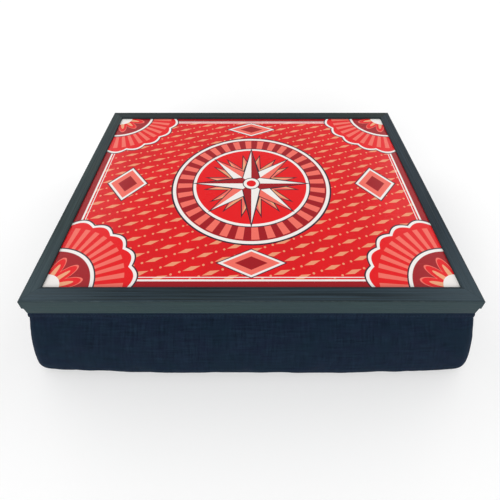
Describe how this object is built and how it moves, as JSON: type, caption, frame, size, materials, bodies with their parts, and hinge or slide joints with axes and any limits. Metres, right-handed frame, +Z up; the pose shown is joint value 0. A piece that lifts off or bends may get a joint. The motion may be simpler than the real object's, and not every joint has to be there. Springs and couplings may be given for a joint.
{
  "type": "lap tray with cushion",
  "caption": "Lap tray: a mitred wooden frame with a lip holds a glossy printed panel, and hook and loop tape fixes it on a soft bead-filled cloth cushion.",
  "frame": {"origin": "middle of the cushion's flat base, on the surface that it stands on", "axes": "+X to the right along the long side, +Y to the rear, +Z up; the front is -Y"},
  "size_m": [0.472, 0.372, 0.1148],
  "materials": {
    "painted_wood": "satin",
    "steel": "satin",
    "print": "gloss",
    "fibreboard": "matte",
    "hardboard": "satin",
    "hook_tape": "matte",
    "loop_tape": "matte",
    "cushion_cloth": "matte",
    "bead_fill": "matte"
  },
  "bodies": {
    "cushion": {"cushion_cover": "cushion_cloth", "cushion_top_panel": "cushion_cloth", "bead_fill": "bead_fill", "loop_strip_front": "loop_tape", "loop_strip_rear": "loop_tape", "loop_strip_left": "loop_tape", "loop_strip_right": "loop_tape"},
    "tray": {"front_rail": "painted_wood", "rear_rail": "painted_wood", "left_rail": "painted_wood", "right_rail": "painted_wood", "mitre_pins": "steel", "retaining_points": "steel", "printed_laminate": "print", "tray_board": "fibreboard", "backing_board": "hardboard", "hook_strip_front": "hook_tape", "hook_strip_rear": "hook_tape", "hook_strip_left": "hook_tape", "hook_strip_right": "hook_tape"}
  },
  "joints": [
    {"name": "tray_lift", "type": "slide", "parent": "cushion", "child": "tray", "axis": [0, 0, 1], "range_m": [0, 0.05]}
  ]
}
